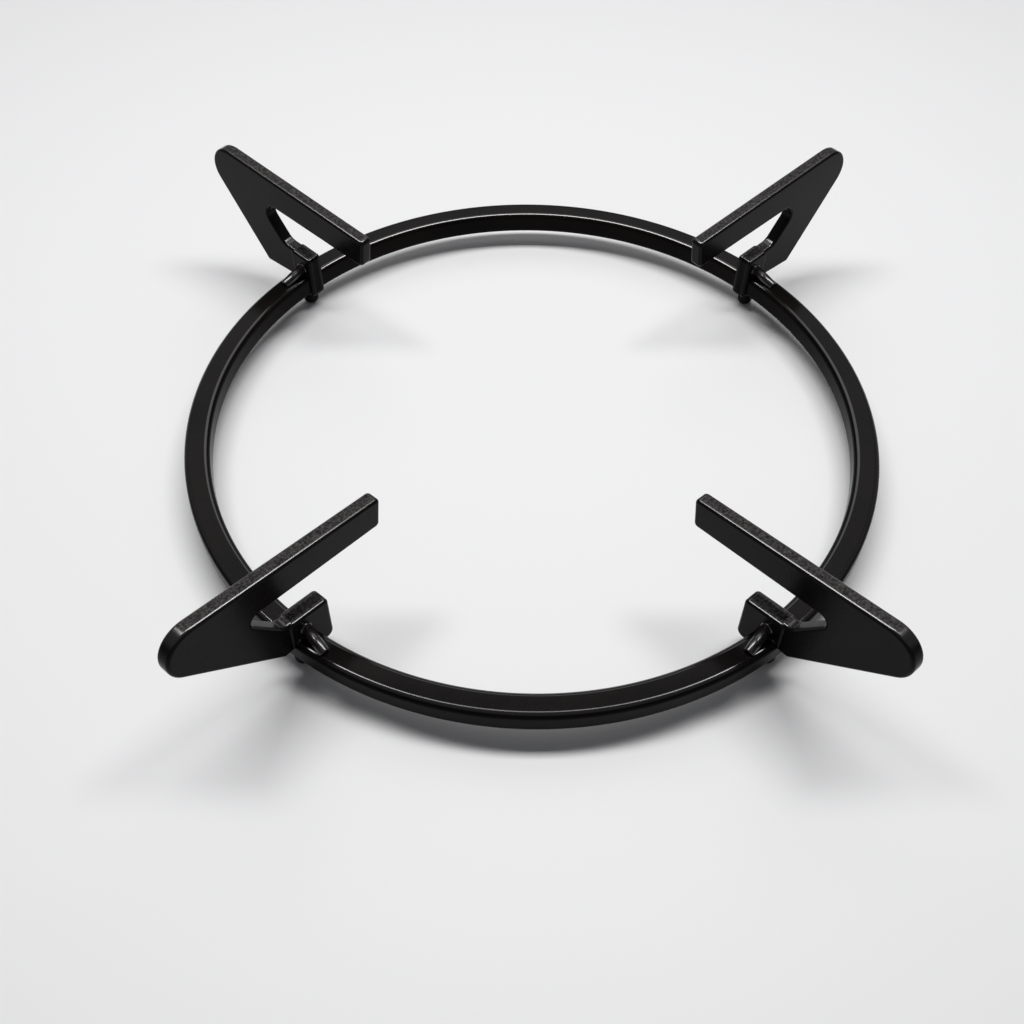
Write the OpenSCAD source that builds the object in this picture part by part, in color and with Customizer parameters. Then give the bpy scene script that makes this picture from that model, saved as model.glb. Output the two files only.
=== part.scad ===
// Stove ring: a ring bent from rounded square bar, with four flat upright prongs
// that carry a pan above the burner and stand the ring off the hob.
// Origin: centre of the ring, on the surface that the four feet stand on.
// The front of the ring faces -Y.

/* [Ring] */
// Outer diameter of the ring
ring_od = 220; // [200:1:260]
// Width of the ring's bar, inwards from the outer diameter
bar_w = 8; // [6:0.1:10]
// Height of the ring's bar
bar_h = 8; // [6:0.1:10]
// Radius of the bar's rounded corners
bar_corner = 1.9; // [0.8:0.1:2.6]

/* [Prong layout] */
// Angle of each front prong from the front of the ring
front_half_angle = 38.4; // [30:0.1:50]
// Angle of each rear prong from the back of the ring
rear_half_angle = 48.5; // [40:0.1:60]
// Turn of each front prong about its root, towards the side
front_turn = 3; // [0:0.5:5]
// Turn of each rear prong about its root, towards the side
rear_turn = 2; // [0:0.5:5]

/* [Prong plate] */
// Thickness of the plate
plate_t = 4.5; // [3.6:0.1:6]
// Radius of the plate's small corners
corner_r = 1.5; // [0.5:0.1:2]
// Reach of the arm, inwards from the ring's outer face
arm_reach = 37; // [30:0.5:50]
// Height of the arm's inner end above the ring
arm_z = 29.3; // [26:0.1:36]
// Slope of the pan rest, rising outwards
rest_slope = 6.8; // [2:0.1:12]
// Depth of the arm at its inner end
arm_depth = 10.5; // [8:0.5:12]
// Slope of the arm's lower edge, rising outwards
under_slope = 5.5; // [2:0.5:7]
// Overhang of the wing beyond the ring's outer face
wing_reach = 34.8; // [30:0.1:42]
// Radius of the wing's round tip
tip_r = 8.5; // [6:0.1:9.5]
// Slope of the leg's outer edge on the front prongs
front_leg_slope = 41; // [38:1:56]
// Slope of the leg's outer edge on the rear prongs
rear_leg_slope = 54; // [40:1:58]

/* [Notch] */
// Reach of the notch beyond the ring's outer face
notch_reach = 9.8; // [7:0.1:12]
// Radius of the notch's round end on the front prongs
front_notch_r = 2.4; // [1.5:0.1:4.5]
// Radius of the notch's round end on the rear prongs
rear_notch_r = 4; // [1.5:0.1:4.5]
// Slope of the leg's inner edge
inner_slope = 52; // [46:1:60]
// Radius of the hollow corner between leg and root
shoulder_r = 4; // [1:0.5:6]

/* [Prong root] */
// Height of the root above the ring, at the ring's outer face
root_z = 8.9; // [7:0.1:10]
// Overhang of the front roots inside the ring's bar
front_root_in = 6; // [1:0.1:7]
// Overhang of the rear roots inside the ring's bar
rear_root_in = 1.2; // [1:0.1:7]
// Thickness of the root's lip under the bar
root_lip = 1.2; // [0.8:0.1:2]
// Radius of the hook's outer corner, under the bar
hook_r = 2.4; // [1:0.1:3]
// Width of the bar that the lip laps under
lip_w = 5; // [4:0.1:6]
// Depth of the plate's base below the top of the bar, on the ring's outer face
seat_drop = 3.2; // [2:0.1:4.5]
// Height that the root's sides stand proud of the plate
root_proud = 0.6; // [0.2:0.1:1.2]

/* [Feet and braces] */
// Diameter of the round feet
foot_d = 5.2; // [4:0.1:6]
// Height of the feet below the ring
foot_h = 6; // [4:0.5:10]
// Radius of the foot's rounded end
foot_end_r = 1.6; // [0.5:0.1:1.9]
// Diameter of the short round braces
brace_d = 3.4; // [2.5:0.1:4.2]
// Height of the brace on the root's side, above the ring
brace_z = 3; // [2.2:0.1:4.5]
// Reach of the brace along the ring from the root's side
brace_reach = 8; // [6:0.1:10]

/* [Hidden] */
$fn = 96;
enamel = [0.13, 0.12, 0.12];
ring_r = ring_od / 2;
ring_top = foot_h + bar_h;
bar_inner = ring_r - bar_w;
bar_mid = ring_r - bar_w / 2;
root_t = plate_t + 2 * root_proud;
// A curve gets one straight stretch for each of these degrees
arc_step = 11;
front_angle = front_half_angle - 90;
rear_angle = 90 - rear_half_angle;

function unit(v) = v / norm(v);
function flat(v) = [v[0], v[1]];
function along(a) = [cos(a), sin(a)];
function spin(v, a) = [v[0] * cos(a) - v[1] * sin(a), v[0] * sin(a) + v[1] * cos(a)];
function cross2(a, b) = a[0] * b[1] - a[1] * b[0];
// Outward normal of an outline that runs counter-clockwise in direction d
function outward(d) = [d[1], -d[0]];
// Point where the line through p at angle a meets the line through q at angle b
function meet(p, a, q, b) = p + along(a) * cross2(q - p, along(b)) / cross2(along(a), along(b));

// Points of an outline with rounded corners, from [x, y, radius] corners in counter-clockwise order
function rounded(corners) = [
    for (i = [0 : len(corners) - 1])
        let (
            last = len(corners) - 1,
            p = flat(corners[i]),
            r = corners[i][2],
            into = unit(p - flat(corners[i == 0 ? last : i - 1])),
            out = unit(flat(corners[i == last ? 0 : i + 1]) - p),
            a = atan2(cross2(into, out), into * out),
            centre = p - into * r * tan(abs(a) / 2) - sign(a) * outward(into) * r,
            steps = max(2, ceil(abs(a) / arc_step))
        )
        for (k = [0 : steps])
            centre + sign(a) * r * spin(outward(into), a * k / steps)
];

// Upright plate of thickness t in the XZ plane
module upright_plate(corners, t) {
    rotate([90, 0, 0])
        linear_extrude(t, center = true)
            polygon(rounded(corners));
}

// The prong is drawn with X outwards from the ring's centre and Z up from the ring's top
function arm_top() = [ring_r - arm_reach, arm_z];
function arm_low() = arm_top() + arm_depth * along(rest_slope - 90);
function tip_centre() =
    let (x = ring_r + wing_reach - tip_r)
    [x, meet(arm_top(), rest_slope, [x, 0], 90)[1] - tip_r / cos(rest_slope)];
function leg_point(leg_slope) = tip_centre() + tip_r * along(leg_slope - 90);
function tip(leg_slope) = meet(leg_point(leg_slope), leg_slope, arm_top(), rest_slope);
function heel(leg_slope) = meet(leg_point(leg_slope), leg_slope, [0, -seat_drop], 0);
function notch_centre(r) =
    let (x = ring_r + notch_reach - r)
    [x, meet(arm_low(), under_slope, [x, 0], 90)[1] - r / cos(under_slope)];
function notch_low(r) = notch_centre(r) + r * along(inner_slope - 90);
function notch(r) = meet(notch_low(r), inner_slope, arm_low(), under_slope);
function shoulder(r) = meet(notch_low(r), inner_slope, [ring_r, root_z], rest_slope);
function root_top(root_in) = meet([bar_inner - root_in, 0], 90, [ring_r, root_z], rest_slope);

// Corners of the hook that grips the bar from inside and laps under it
function hook(root_in) = [
    [bar_inner - root_in, -bar_h - root_lip, hook_r],
    [bar_inner + lip_w, -bar_h - root_lip, root_lip / 2],
    [bar_inner + lip_w, -seat_drop, 0]
];

module fin(leg_slope, notch_r, root_in) {
    heel_at = heel(leg_slope);
    tip_at = tip(leg_slope);
    notch_at = notch(notch_r);
    shoulder_at = shoulder(notch_r);
    upright_plate(concat(hook(root_in), [
        [heel_at[0], heel_at[1], corner_r],
        [tip_at[0], tip_at[1], tip_r],
        [arm_top()[0], arm_top()[1], corner_r],
        [arm_low()[0], arm_low()[1], corner_r],
        [notch_at[0], notch_at[1], notch_r],
        [shoulder_at[0], shoulder_at[1], shoulder_r],
        [root_top(root_in)[0], root_top(root_in)[1], corner_r]
    ]), plate_t);
}

// Thicker block where the plate grips the ring
module root_block(root_in) {
    upright_plate(concat(hook(root_in), [
        [ring_r, -seat_drop, 0],
        [ring_r, root_z, corner_r],
        [root_top(root_in)[0], root_top(root_in)[1], corner_r]
    ]), root_t);
}

// Round foot under the middle of the bar, with a small flat land to stand on
module foot() {
    foot_r = foot_d / 2;
    translate([bar_mid, 0, -ring_top])
        rotate_extrude($fn = 48) {
            square([foot_r - foot_end_r, foot_end_r]);
            translate([0, foot_end_r])
                square([foot_r, foot_h + bar_corner - foot_end_r]);
            intersection() {
                translate([foot_r - foot_end_r, foot_end_r])
                    circle(foot_end_r);
                square([foot_r, foot_end_r]);
            }
        }
}

// Carries a prong's own frame to its place on the ring
module at_root(angle, turn) {
    rotate([0, 0, angle])
        translate([bar_mid, 0, ring_top])
            rotate([0, 0, turn])
                translate([-bar_mid, 0, 0])
                    children();
}

// Rounded square section of the bar, swept round the ring
module ring_solid() {
    translate([0, 0, foot_h])
        rotate_extrude($fn = 180)
            translate([bar_inner, 0]) {
                translate([bar_corner, 0])
                    square([bar_w - 2 * bar_corner, bar_h]);
                translate([0, bar_corner])
                    square([bar_w, bar_h - 2 * bar_corner]);
                for (x = [bar_corner, bar_w - bar_corner], y = [bar_corner, bar_h - bar_corner])
                    translate([x, y])
                        circle(bar_corner, $fn = 32);
            }
}

module prong(angle, turn, leg_slope, notch_r, root_in) {
    color(enamel)
        difference() {
            at_root(angle, turn) {
                fin(leg_slope, notch_r, root_in);
                root_block(root_in);
                foot();
            }
            ring_solid();
        }
}

// Short round brace from the root's side down to the top of the bar
module brace(angle, turn) {
    start = [bar_mid - 1, -root_t / 2, brace_z];
    end = [bar_mid, -root_t / 2 - brace_reach, 0];
    run = end - start;
    // The rod runs on into the root and is cut off at its side
    over = brace_d * unit(run);
    color(enamel)
        difference() {
            at_root(angle, turn)
                intersection() {
                    translate(start - over)
                        rotate([0, acos(run[2] / norm(run)), atan2(run[1], run[0])])
                            cylinder(d = brace_d, h = norm(run) + norm(over));
                    translate([bar_inner, start[1] - brace_reach - brace_d, -bar_h])
                        cube([bar_w, brace_reach + brace_d, bar_h + root_z]);
                }
            ring_solid();
        }
}

module ring_bar() {
    color(enamel)
        ring_solid();
}

module prong_front_right() {
    prong(front_angle, front_turn, front_leg_slope, front_notch_r, front_root_in);
}

module prong_front_left() {
    mirror([1, 0, 0])
        prong_front_right();
}

module prong_rear_right() {
    prong(rear_angle, -rear_turn, rear_leg_slope, rear_notch_r, rear_root_in);
}

module prong_rear_left() {
    mirror([1, 0, 0])
        prong_rear_right();
}

module brace_front_right() {
    brace(front_angle, front_turn);
}

module brace_front_left() {
    mirror([1, 0, 0])
        brace_front_right();
}

module brace_rear_right() {
    brace(rear_angle, -rear_turn);
}

module brace_rear_left() {
    mirror([1, 0, 0])
        brace_rear_right();
}

ring_bar();
prong_front_left();
prong_front_right();
prong_rear_left();
prong_rear_right();
brace_front_left();
brace_front_right();
brace_rear_left();
brace_rear_right();
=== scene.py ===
"""Stove ring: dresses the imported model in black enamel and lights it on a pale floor."""
import math
import bmesh
import bpy
from mathutils import Matrix, Vector, noise as waves


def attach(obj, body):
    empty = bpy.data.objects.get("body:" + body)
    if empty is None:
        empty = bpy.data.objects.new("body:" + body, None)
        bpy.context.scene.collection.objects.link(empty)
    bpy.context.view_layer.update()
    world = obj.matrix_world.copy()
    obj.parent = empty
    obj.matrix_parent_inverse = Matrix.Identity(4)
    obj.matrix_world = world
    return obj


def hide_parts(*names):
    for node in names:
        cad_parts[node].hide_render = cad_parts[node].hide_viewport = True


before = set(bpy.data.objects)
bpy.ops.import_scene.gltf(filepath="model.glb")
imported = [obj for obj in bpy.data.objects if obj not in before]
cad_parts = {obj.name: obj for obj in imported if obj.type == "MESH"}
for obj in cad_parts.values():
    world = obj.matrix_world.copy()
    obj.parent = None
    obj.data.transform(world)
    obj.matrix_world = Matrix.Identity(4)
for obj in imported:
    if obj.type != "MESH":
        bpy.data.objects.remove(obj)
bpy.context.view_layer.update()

MM = 0.001

# Ring, prongs and braces, in millimetres and degrees as in the model
RING_R = 110
BAR_W = 8
BAR_H = 8
BAR_CORNER = 1.9
BAR_INNER = RING_R - BAR_W
BAR_MID = RING_R - BAR_W / 2
FOOT_D = 5.2
FOOT_H = 6
FOOT_END_R = 1.6
RING_TOP = FOOT_H + BAR_H
PLATE_T = 4.5
CORNER_R = 1.5
ARM_REACH = 37
ARM_Z = 29.3
ARM_DEPTH = 10.5
REST_SLOPE = 6.8
UNDER_SLOPE = 5.5
INNER_SLOPE = 52
WING_REACH = 34.8
TIP_R = 8.5
NOTCH_REACH = 9.8
SHOULDER_R = 4
ROOT_Z = 8.9
ROOT_LIP = 1.2
ROOT_PROUD = 0.6
ROOT_T = PLATE_T + 2 * ROOT_PROUD
HOOK_R = 2.4
LIP_W = 5
SEAT_DROP = 3.2
BRACE_D = 3.4
BRACE_Z = 3
BRACE_REACH = 8
BRACE_START_IN = 1
BRACE_END_R = 0.12 * BRACE_D

# A prong's angle on the ring, its turn there, its leg's slope, its notch and its root's overhang
FRONT = {"angle": 38.4 - 90, "turn": 3, "leg_slope": 41, "notch_r": 2.4, "root_in": 6}
REAR = {"angle": 90 - 48.5, "turn": -2, "leg_slope": 54, "notch_r": 4, "root_in": 1.2}
RIGHT = 1
LEFT = -1
PRONGS = {
    "front_right": (FRONT, RIGHT),
    "front_left": (FRONT, LEFT),
    "rear_right": (REAR, RIGHT),
    "rear_left": (REAR, LEFT),
}

# Rounding of the plates' long edges, which the model leaves square
EDGE_R = 1.0
# Keeps the dressed meshes just inside the model's own surface
SKIN = 0.02

# Weld beads, in millimetres; the angles run round a brace, from outwards over its top
ROOT_BEAD_R = 0.75
ROOT_BEAD_INNER_GAP = 1.6
ROOT_BEAD_OUTER_GAP = 1
BRACE_BEAD_R = 0.4
BRACE_BEAD_ANGLES = range(-50, 231, 20)
BRACE_BEAD_SEED = 3
BEAD_ENDS = 0.35
BEAD_LUMPS = 0.35
BEAD_LUMPS_PER_MM = 0.9

# Fineness of the meshes
RING_STEPS = 288
FOOT_STEPS = 40
ROD_STEPS = 32
BEAD_STEPS = 10
BEAD_POINTS_PER_MM = 3
CORNER_STEPS = 8
EDGE_STEPS = 5
ARC_STEP_DEGREES = 6
JOIN_DISTANCE = 0.004
FACE_NORMAL_WEIGHT = 80

# Finishes: one strength sets the pale speckling on upward faces, partly grainy enamel and partly
# painted sheen that lightens the tops, together with their stipple and dullness; the clear coat has
# one weight on rounded upper edges and one on upward faces
RING_FINISH = {
    "dark": (0.004, 0.0032, 0.003), "light": (0.007, 0.0055, 0.005),
    "roughness": 0.14, "grain_and_sheen": 0.03, "specular": 0.03, "edge_coat": 1.0, "top_coat": 0.12,
}
PRONG_FINISH = {
    "dark": (0.005, 0.0045, 0.0045), "light": (0.009, 0.0075, 0.0073),
    "roughness": 0.2, "grain_and_sheen": 1.0, "specular": 0.06, "edge_coat": 1.0, "top_coat": 0.06,
}
BRACE_FINISH = {
    "dark": (0.010, 0.008, 0.008), "light": (0.018, 0.015, 0.014),
    "roughness": 0.22, "grain_and_sheen": 0.0, "specular": 0.6, "edge_coat": 0.5, "top_coat": 0.5,
}
# Colour of the pale speckling on upward faces: partly grainy enamel, partly painted sheen that
# lightens the tops
SPECK_AND_SHEEN_COLOUR = (0.1, 0.092, 0.09)
COAT_IOR = 1.8
# Upward part of the normal where a face begins to count as upward, and where it fully does
UPWARD_FROM = 0.96
UPWARD_FULL = 0.985
# The same part where the edges' coat begins, is full, ends and has given way to the top's
COAT_FROM = 0.72
COAT_FULL = 0.84
COAT_END = 0.982
COAT_TOP = 0.992
# Noise, as repeats in a metre, detail and roughness
DRIFT_NOISE = (45, 3.0, 0.5)
SHEEN_NOISE = (220, 3.0, 0.5)
PEEL_NOISE = (420, 2.0, 0.5)
SPECK_AND_SHEEN_NOISE = (1300, 4.0, 0.8)
STIPPLE_NOISE = (1700, 4.0, 0.7)
# Noise values at which a pattern begins and is full
DRIFT_RANGE = (0.35, 0.7)
SHEEN_RANGE = (0.3, 0.7)
SPECK_AND_SHEEN_RANGE = (0.42, 0.7)
# Spread of the roughness, and strength and depth of the relief
SMOOTHER = 0.03
ROUGHER = 0.04
UPWARD_ROUGHER = 0.16
PEEL_STRENGTH = 0.1
PEEL_DEPTH = 0.2 * MM
STIPPLE_STRENGTH = 0.9
STIPPLE_DEPTH = 0.12 * MM

# Stage, in metres and watts
FLOOR_HALF = 4.0
FLOOR_COLOUR = (0.9, 0.9, 0.905)
FLOOR_ROUGHNESS = 0.5
TOP_STRIP = {"at": (0.0, 0.15, 0.85), "width": 1.0, "height": 0.18, "power": 7}
BACK_SOFTBOX = {"at": (0.0, 1.0, 1.1), "width": 1.6, "height": 0.8, "power": 3}
WORLD_COLOUR = (0.95, 0.96, 1)
WORLD_STRENGTH = 0.12

# Camera, in radians and in ring radii from the ring's centre at the height of its top
CAM_ELEVATION = 0.89235
CAM_DISTANCE = 3.2
CAM_AIM = (-0.0545, -0.3724)
CAM_ROLL = 0.0123
CAM_TURN = math.radians(-0.81)
CAM_FOCAL_PX = 1178.1
CAM_NEAR_METRES = 0.01
CAM_FAR_METRES = 20
IMAGE_PX = 1024
SENSOR_MM = 36.0


# Outline geometry

def along(degrees):
    return Vector((math.cos(math.radians(degrees)), math.sin(math.radians(degrees))))


def cross2(a, b):
    return a.x * b.y - a.y * b.x


def outward(d):
    return Vector((d.y, -d.x))


def meet(p, a, q, b):
    """Point where the line through p at angle a meets the line through q at angle b."""
    return p + along(a) * (cross2(q - p, along(b)) / cross2(along(a), along(b)))


def rounded(corners, inset):
    """Outline with rounded corners, from (x, y, radius) counter-clockwise, moved in by inset."""
    spots = [Vector(c[:2]) for c in corners]
    out = []
    for i, (spot, corner) in enumerate(zip(spots, corners)):
        d_in = (spot - spots[i - 1]).normalized()
        d_out = (spots[(i + 1) % len(spots)] - spot).normalized()
        bend = math.atan2(cross2(d_in, d_out), d_in.dot(d_out))
        side = math.copysign(1, bend)
        n_in, n_out = outward(d_in), outward(d_out)
        moved = spot - (n_in + n_out) * (inset / (1 + n_in.dot(n_out)))
        radius = max(corner[2] - side * inset, 0)
        centre = moved - d_in * (radius * math.tan(abs(bend) / 2)) - n_in * (side * radius)
        steps = max(2, math.ceil(abs(math.degrees(bend)) / ARC_STEP_DEGREES))
        for k in range(steps + 1):
            arm = n_in.copy()
            arm.rotate(Matrix.Rotation(bend * k / steps, 2))
            out.append(centre + arm * (side * radius))
    return out


def fin_corners(leg_slope, notch_r, root_in):
    """Corners of the prong's plate: X outwards from the ring's centre, Y up from the ring's top."""
    arm_top = Vector((RING_R - ARM_REACH, ARM_Z))
    arm_low = arm_top + along(REST_SLOPE - 90) * ARM_DEPTH
    tip_x = RING_R + WING_REACH - TIP_R
    rest = meet(arm_top, REST_SLOPE, Vector((tip_x, 0)), 90).y
    tip_centre = Vector((tip_x, rest - TIP_R / math.cos(math.radians(REST_SLOPE))))
    on_leg = tip_centre + along(leg_slope - 90) * TIP_R
    tip = meet(on_leg, leg_slope, arm_top, REST_SLOPE)
    heel = meet(on_leg, leg_slope, Vector((0, -SEAT_DROP)), 0)
    notch_x = RING_R + NOTCH_REACH - notch_r
    under = meet(arm_low, UNDER_SLOPE, Vector((notch_x, 0)), 90).y
    notch_centre = Vector((notch_x, under - notch_r / math.cos(math.radians(UNDER_SLOPE))))
    notch_low = notch_centre + along(INNER_SLOPE - 90) * notch_r
    notch = meet(notch_low, INNER_SLOPE, arm_low, UNDER_SLOPE)
    shoulder = meet(notch_low, INNER_SLOPE, Vector((RING_R, ROOT_Z)), REST_SLOPE)
    return hook_corners(root_in) + [
        (*heel, CORNER_R), (*tip, TIP_R), (*arm_top, CORNER_R), (*arm_low, CORNER_R),
        (*notch, notch_r), (*shoulder, SHOULDER_R), (*root_top(root_in), CORNER_R),
    ]


def hook_corners(root_in):
    return [
        (BAR_INNER - root_in, -BAR_H - ROOT_LIP, HOOK_R),
        (BAR_INNER + LIP_W, -BAR_H - ROOT_LIP, ROOT_LIP / 2),
        (BAR_INNER + LIP_W, -SEAT_DROP, 0),
    ]


def root_top(root_in):
    return meet(Vector((BAR_INNER - root_in, 0)), 90, Vector((RING_R, ROOT_Z)), REST_SLOPE)


def root_corners(root_in):
    return hook_corners(root_in) + [
        (RING_R, -SEAT_DROP, 0), (RING_R, ROOT_Z, CORNER_R), (*root_top(root_in), CORNER_R),
    ]


# Meshes, in millimetres until they are placed

def swing(sweep, steps):
    """Sine and cosine at even steps from zero to a sweep, both ends included."""
    angles = [sweep * k / steps for k in range(steps + 1)]
    return [(math.sin(a), math.cos(a)) for a in angles]


def quarter_turn(steps):
    return swing(math.pi / 2, steps)


def full_turn(steps):
    """Sine and cosine round a full turn, without its end, which is its start again."""
    return swing(2 * math.pi, steps)[:-1]


def hoop(centre, side, up, radius, steps):
    """Circle of points in the plane of two unit vectors."""
    return [centre + (side * c + up * s) * radius for s, c in full_turn(steps)]


def loft(work, loops, closed=False):
    """Skins a row of point loops of equal length; closed joins the last loop to the first."""
    rows = [[work.verts.new(p) for p in loop] for loop in loops]
    pairs = list(zip(rows, rows[1:])) + ([(rows[-1], rows[0])] if closed else [])
    for a, b in pairs:
        for i in range(len(a)):
            j = (i + 1) % len(a)
            work.faces.new((a[i], a[j], b[j], b[i]))
    if not closed:
        work.faces.new(rows[0][::-1])
        work.faces.new(rows[-1])


def plate(work, corners, thickness):
    """Upright plate in the XZ plane with rounded long edges."""
    flat = thickness / 2 - EDGE_R
    rounds = [(SKIN + EDGE_R * (1 - c), flat + EDGE_R * s) for s, c in quarter_turn(EDGE_STEPS)]
    layers = rounds[::-1] + [(inset, -y) for inset, y in rounds]
    loft(work, [[(p.x, y, p.y) for p in rounded(corners, inset)] for inset, y in layers])


def foot(work):
    """Round foot under the middle of the bar, with a rounded lower end."""
    r, e = FOOT_D / 2, FOOT_END_R
    profile = [(r - e + e * s, e - e * c - RING_TOP) for s, c in quarter_turn(CORNER_STEPS)]
    profile.append((r, BAR_CORNER - BAR_H))
    turn = full_turn(FOOT_STEPS)
    loft(work, [[(BAR_MID + reach * c, reach * s, z) for s, c in turn] for reach, z in profile])


def rod(work, start, end, diameter, end_r):
    """Round rod that begins a diameter before its start and has a rounded far end."""
    run = (end - start).normalized()
    side = run.cross(Vector((0, 0, 1))).normalized()
    up = side.cross(run)
    r = diameter / 2
    shaft = (end - start).length - end_r
    stations = [(-diameter, r)]
    stations += [(shaft + end_r * s, r - end_r + end_r * c) for s, c in quarter_turn(EDGE_STEPS)]
    loft(work, [hoop(start + run * at, side, up, reach, ROD_STEPS) for at, reach in stations])


def bead(work, path, radius, seed):
    """Lumpy weld bead along a path of points, thinner at its ends."""
    fine = []
    for a, b in zip(path, path[1:]):
        count = max(2, int((b - a).length * BEAD_POINTS_PER_MM))
        fine += [a.lerp(b, k / count) for k in range(count)]
    fine.append(path[-1])
    last = len(fine) - 1
    loops = []
    for i, p in enumerate(fine):
        run = (fine[min(i + 1, last)] - fine[max(i - 1, 0)]).normalized()
        side = run.cross(Vector((0.1, 0.2, 1))).normalized()
        up = side.cross(run)
        taper = min(1, BEAD_ENDS + (1 - BEAD_ENDS) * min(i, last - i) / BEAD_POINTS_PER_MM)
        lump = 1 + BEAD_LUMPS * waves.noise(p * BEAD_LUMPS_PER_MM + Vector((seed, 0, 0)))
        loops.append(hoop(p, side, up, radius * lump * taper, BEAD_STEPS))
    loft(work, loops)


def finish_mesh(work, name, place):
    """Joins doubled points, places the work and turns it into a mesh in metres."""
    bmesh.ops.remove_doubles(work, verts=work.verts, dist=JOIN_DISTANCE)
    bmesh.ops.transform(work, matrix=Matrix.Scale(MM, 4) @ place, verts=work.verts)
    bmesh.ops.recalc_face_normals(work, faces=work.faces)
    mesh = bpy.data.meshes.new(name)
    work.to_mesh(mesh)
    work.free()
    return mesh


def at_root(settings, side):
    """Carries a prong's own frame to its place on the ring; the left side is a mirror image."""
    spin = Matrix.Rotation(math.radians(settings["angle"]), 4, "Z")
    lean = Matrix.Rotation(math.radians(settings["turn"]), 4, "Z")
    there = Matrix.Translation((BAR_MID, 0, RING_TOP))
    back = Matrix.Translation((-BAR_MID, 0, 0))
    return Matrix.Scale(side, 4, (1, 0, 0)) @ spin @ there @ lean @ back


def ring_mesh():
    r = BAR_CORNER
    inner, outer = BAR_INNER + r, RING_R - r
    low, high = FOOT_H + r, RING_TOP - r
    section = []
    for x, z, start in ((outer, low, -90), (outer, high, 0), (inner, high, 90), (inner, low, 180)):
        angles = [start + 90 * k / CORNER_STEPS for k in range(CORNER_STEPS + 1)]
        section += [Vector((x, z)) + along(a) * (r - SKIN) for a in angles]
    loops = [[(p.x * c, p.x * s, p.y) for p in section] for s, c in full_turn(RING_STEPS)]
    work = bmesh.new()
    loft(work, loops, closed=True)
    return finish_mesh(work, "bar_ring", Matrix())


def root_bead(work, y, seed):
    """Weld bead where one face of the root meets the top of the bar."""
    start = Vector((BAR_INNER + ROOT_BEAD_INNER_GAP, y, 0))
    end = Vector((RING_R - ROOT_BEAD_OUTER_GAP, y, 0))
    bead(work, [start, end], ROOT_BEAD_R, seed)


def prong_mesh(name, settings, side):
    leg_slope, root_in = settings["leg_slope"], settings["root_in"]
    work = bmesh.new()
    plate(work, fin_corners(leg_slope, settings["notch_r"], root_in), PLATE_T)
    plate(work, root_corners(root_in), ROOT_T)
    foot(work)
    for face in (-1, 1):
        root_bead(work, face * ROOT_T / 2, leg_slope + face)
    return finish_mesh(work, name, at_root(settings, side))


def brace_mesh(name, settings, side):
    """Brace with a weld bead round its upper end."""
    start = Vector((BAR_MID - BRACE_START_IN, -ROOT_T / 2, BRACE_Z))
    end = Vector((BAR_MID, -ROOT_T / 2 - BRACE_REACH, 0))
    turns = [math.radians(a) for a in BRACE_BEAD_ANGLES]
    collar = [start + Vector((math.cos(t), 0, math.sin(t))) * (BRACE_D / 2) for t in turns]
    work = bmesh.new()
    rod(work, start, end, BRACE_D, BRACE_END_R)
    bead(work, collar, BRACE_BEAD_R, settings["angle"] + BRACE_BEAD_SEED)
    return finish_mesh(work, name, at_root(settings, side))


# Materials

def node(tree, kind, **values):
    made = tree.nodes.new(kind)
    for key, value in values.items():
        setattr(made, key, value)
    return made


def feed(tree, socket, value):
    """Links an output to a socket, or sets the socket to a plain value."""
    if isinstance(value, bpy.types.NodeSocket):
        tree.links.new(value, socket)
    else:
        socket.default_value = value


def calculate(tree, operation, *values):
    made = node(tree, "ShaderNodeMath", operation=operation)
    for socket, value in zip(made.inputs, values):
        feed(tree, socket, value)
    return made.outputs["Value"]


def noise(tree, place, settings):
    made = node(tree, "ShaderNodeTexNoise")
    for key, number in zip(("Scale", "Detail", "Roughness"), settings):
        made.inputs[key].default_value = number
    tree.links.new(place, made.inputs["Vector"])
    return made.outputs["Fac"]


def remap(tree, value, source, low, high):
    """Carries a value from its source range to the range from low to high."""
    made = node(tree, "ShaderNodeMapRange")
    for key, number in zip(("From Min", "From Max", "To Min", "To Max"), (*source, low, high)):
        made.inputs[key].default_value = number
    tree.links.new(value, made.inputs["Value"])
    return made.outputs["Result"]


def ramp(tree, value, stops):
    """Colours a value through (position, colour) stops in rising order."""
    made = node(tree, "ShaderNodeValToRGB")
    elements = made.color_ramp.elements
    for position, colour in stops[1:-1]:
        elements.new(position).color = (*colour, 1)
    for end in (0, -1):
        position, colour = stops[end]
        elements[end].position = position
        elements[end].color = (*colour, 1)
    tree.links.new(value, made.inputs["Fac"])
    return made.outputs["Color"]


def grey(level):
    return (level, level, level)


def relief(tree, place, settings, strength, depth):
    """Bump node with noise as its height."""
    made = node(tree, "ShaderNodeBump")
    feed(tree, made.inputs["Strength"], strength)
    made.inputs["Distance"].default_value = depth
    tree.links.new(noise(tree, place, settings), made.inputs["Height"])
    return made


def enamel_colour(tree, place, upward, finish):
    """Slow drift between two colours, with pale speckling on upward faces, partly grainy enamel and
    partly painted sheen that lightens the tops.
    """
    stops = list(zip(DRIFT_RANGE, (finish["dark"], finish["light"])))
    drift = ramp(tree, noise(tree, place, DRIFT_NOISE), stops)
    # Painted sheen, partly grainy enamel: pale speckling that lightens upward faces
    specks_and_sheen = remap(tree, noise(tree, place, SPECK_AND_SHEEN_NOISE), SPECK_AND_SHEEN_RANGE, 0, finish["grain_and_sheen"])
    mix = node(tree, "ShaderNodeMix", data_type="RGBA")
    tree.links.new(calculate(tree, "MULTIPLY", upward, specks_and_sheen), mix.inputs["Factor"])
    tree.links.new(drift, mix.inputs["A"])
    mix.inputs["B"].default_value = (*SPECK_AND_SHEEN_COLOUR, 1)
    return mix.outputs["Result"]


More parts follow.
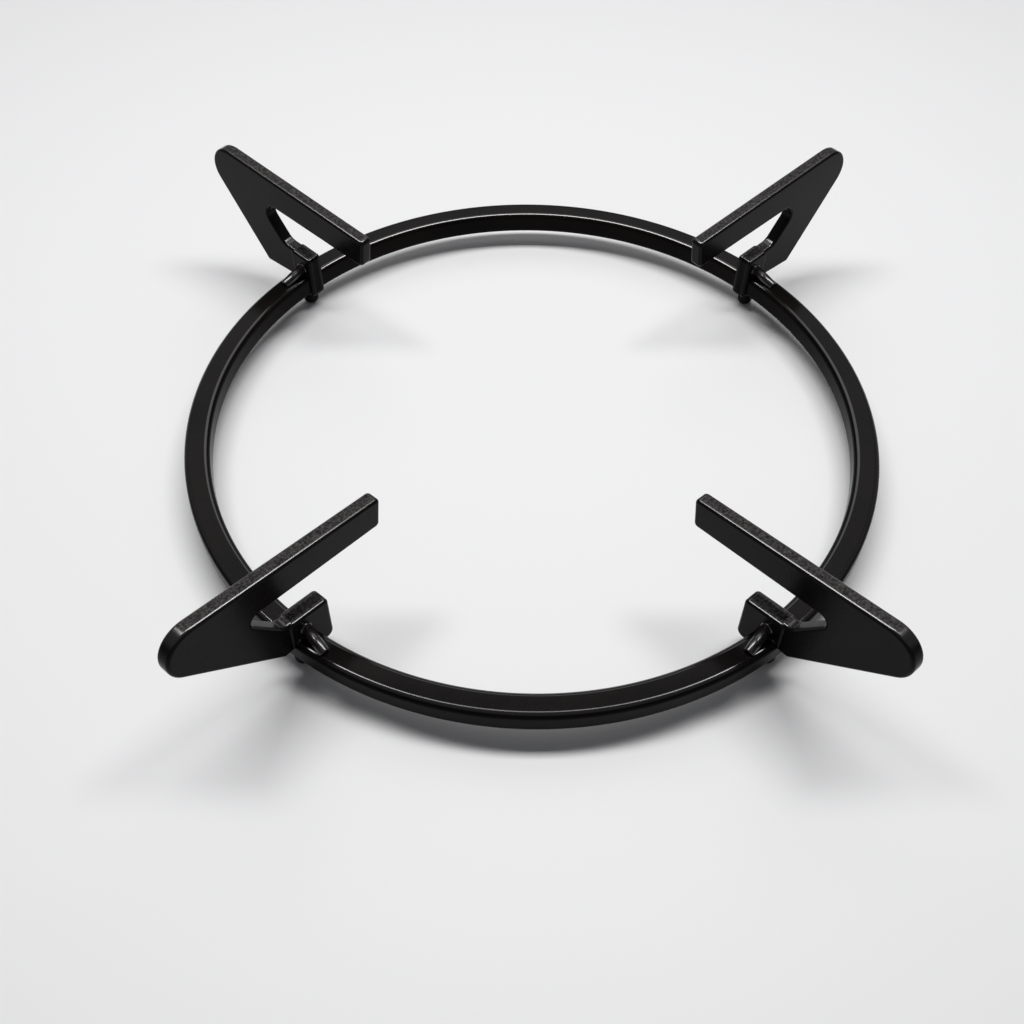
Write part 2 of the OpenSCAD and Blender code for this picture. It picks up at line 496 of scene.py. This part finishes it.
def coat_weight(tree, normal_z, finish):
    """Clear coat by the way a face looks: none on the sides, full on rounded upper edges."""
    edge, top = finish["edge_coat"], finish["top_coat"]
    levels = ((0, 0), (COAT_FROM, 0), (COAT_FULL, edge), (COAT_END, edge), (COAT_TOP, top))
    return ramp(tree, normal_z, [(position, grey(level)) for position, level in levels])


def enamel_roughness(tree, place, upward, finish):
    """Roughness that varies slowly and is higher on upward faces."""
    low = finish["roughness"] - SMOOTHER
    high = finish["roughness"] + ROUGHER
    varied = remap(tree, noise(tree, place, SHEEN_NOISE), SHEEN_RANGE, low, high)
    return calculate(tree, "MULTIPLY_ADD", upward, finish["grain_and_sheen"] * UPWARD_ROUGHER, varied)


def enamel_relief(tree, place, upward, finish):
    """Orange peel all over, with a fine stipple on upward faces."""
    peel = relief(tree, place, PEEL_NOISE, PEEL_STRENGTH, PEEL_DEPTH)
    strength = calculate(tree, "MULTIPLY", upward, finish["grain_and_sheen"] * STIPPLE_STRENGTH)
    stipple = relief(tree, place, STIPPLE_NOISE, strength, STIPPLE_DEPTH)
    tree.links.new(peel.outputs["Normal"], stipple.inputs["Normal"])
    return stipple.outputs["Normal"]


def enamel(name, finish):
    """Black enamel with bright rounded edges, and on upward faces a grainy stipple with pale
    speckling that is partly painted sheen.
    """
    mat = bpy.data.materials.new(name)
    mat.use_nodes = True
    tree = mat.node_tree
    place = node(tree, "ShaderNodeTexCoord").outputs["Object"]
    facing = node(tree, "ShaderNodeSeparateXYZ")
    tree.links.new(node(tree, "ShaderNodeNewGeometry").outputs["Normal"], facing.inputs["Vector"])
    normal_z = facing.outputs["Z"]
    upward = remap(tree, normal_z, (UPWARD_FROM, UPWARD_FULL), 0, 1)
    shader = tree.nodes["Principled BSDF"]
    tree.links.new(enamel_colour(tree, place, upward, finish), shader.inputs["Base Color"])
    tree.links.new(coat_weight(tree, normal_z, finish), shader.inputs["Coat Weight"])
    tree.links.new(enamel_roughness(tree, place, upward, finish), shader.inputs["Roughness"])
    tree.links.new(enamel_relief(tree, place, upward, finish), shader.inputs["Normal"])
    shader.inputs["Coat Roughness"].default_value = finish["roughness"]
    shader.inputs["Coat IOR"].default_value = COAT_IOR
    shader.inputs["Specular IOR Level"].default_value = finish["specular"]
    return mat


# Pieces

def add(name, data):
    """New object in the scene."""
    made = bpy.data.objects.new(name, data)
    bpy.context.scene.collection.objects.link(made)
    return made


def piece(mesh, material, replaced):
    """A visible piece that rides on the frame and stands for the named node."""
    made = add(mesh.name, mesh)
    mesh.materials.append(material)
    for face in mesh.polygons:
        face.use_smooth = True
    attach(made, "root")
    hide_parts(replaced)
    even = made.modifiers.new("even_normals", "WEIGHTED_NORMAL")
    even.mode = "FACE_AREA"
    even.weight = FACE_NORMAL_WEIGHT


def make_pieces():
    ring_coat = enamel("enamel_ring", RING_FINISH)
    prong_coat = enamel("enamel_prong", PRONG_FINISH)
    brace_coat = enamel("enamel_brace", BRACE_FINISH)
    piece(ring_mesh(), ring_coat, "ring_bar")
    for place, (settings, side) in PRONGS.items():
        prong = prong_mesh("plate_" + place, settings, side)
        piece(prong, prong_coat, "prong_" + place)
        brace = brace_mesh("rod_" + place, settings, side)
        piece(brace, brace_coat, "brace_" + place)


# Stage

def make_floor():
    mat = bpy.data.materials.new("pale_floor")
    mat.use_nodes = True
    shader = mat.node_tree.nodes["Principled BSDF"]
    shader.inputs["Base Color"].default_value = (*FLOOR_COLOUR, 1)
    shader.inputs["Roughness"].default_value = FLOOR_ROUGHNESS
    mesh = bpy.data.meshes.new("floor")
    signs = ((-1, -1), (1, -1), (1, 1), (-1, 1))
    corners = [(x * FLOOR_HALF, y * FLOOR_HALF, 0) for x, y in signs]
    mesh.from_pydata(corners, [], [(0, 1, 2, 3)])
    mesh.materials.append(mat)
    made = add("floor", mesh)


def area_light(name, at, width, height, power):
    """Rectangular light that faces the part."""
    data = bpy.data.lights.new(name, "AREA")
    data.shape = "RECTANGLE"
    data.size = width
    data.size_y = height
    data.energy = power
    made = add(name, data)
    made.location = at
    made.rotation_euler = (-Vector(at)).to_track_quat("-Z", "Y").to_euler()


def make_lights():
    area_light("top_strip", **TOP_STRIP)
    area_light("back_softbox", **BACK_SOFTBOX)
    world = bpy.data.worlds.new("studio")
    bpy.context.scene.world = world
    world.use_nodes = True
    back = world.node_tree.nodes["Background"]
    back.inputs["Color"].default_value = (*WORLD_COLOUR, 1)
    back.inputs["Strength"].default_value = WORLD_STRENGTH


def make_camera():
    """The photograph's camera, in the part's frame."""
    data = bpy.data.cameras.new("camera")
    data.sensor_fit = "HORIZONTAL"
    data.sensor_width = SENSOR_MM
    data.lens = CAM_FOCAL_PX / IMAGE_PX * SENSOR_MM
    data.clip_start = CAM_NEAR_METRES
    data.clip_end = CAM_FAR_METRES
    back = CAM_DISTANCE * math.cos(CAM_ELEVATION)
    up = CAM_DISTANCE * math.sin(CAM_ELEVATION)
    place = Vector((CAM_AIM[0], CAM_AIM[1] - back, up)) * (RING_R * MM)
    forward = Vector((0, math.cos(CAM_ELEVATION), -math.sin(CAM_ELEVATION)))
    level = Vector((1, 0, 0))
    raised = level.cross(forward)
    right = level * math.cos(CAM_ROLL) + raised * math.sin(CAM_ROLL)
    upward = raised * math.cos(CAM_ROLL) - level * math.sin(CAM_ROLL)
    ring_centre = Matrix.Translation((0, 0, RING_TOP * MM))
    turn = Matrix.Rotation(CAM_TURN, 4, "Z")
    look = Matrix([right, upward, -forward]).transposed().to_4x4()
    made = add("camera", data)
    made.matrix_world = ring_centre @ turn @ Matrix.Translation(place) @ look
    bpy.context.scene.camera = made


make_pieces()
make_floor()
make_lights()
make_camera()
bpy.context.scene.view_settings.view_transform = "Standard"
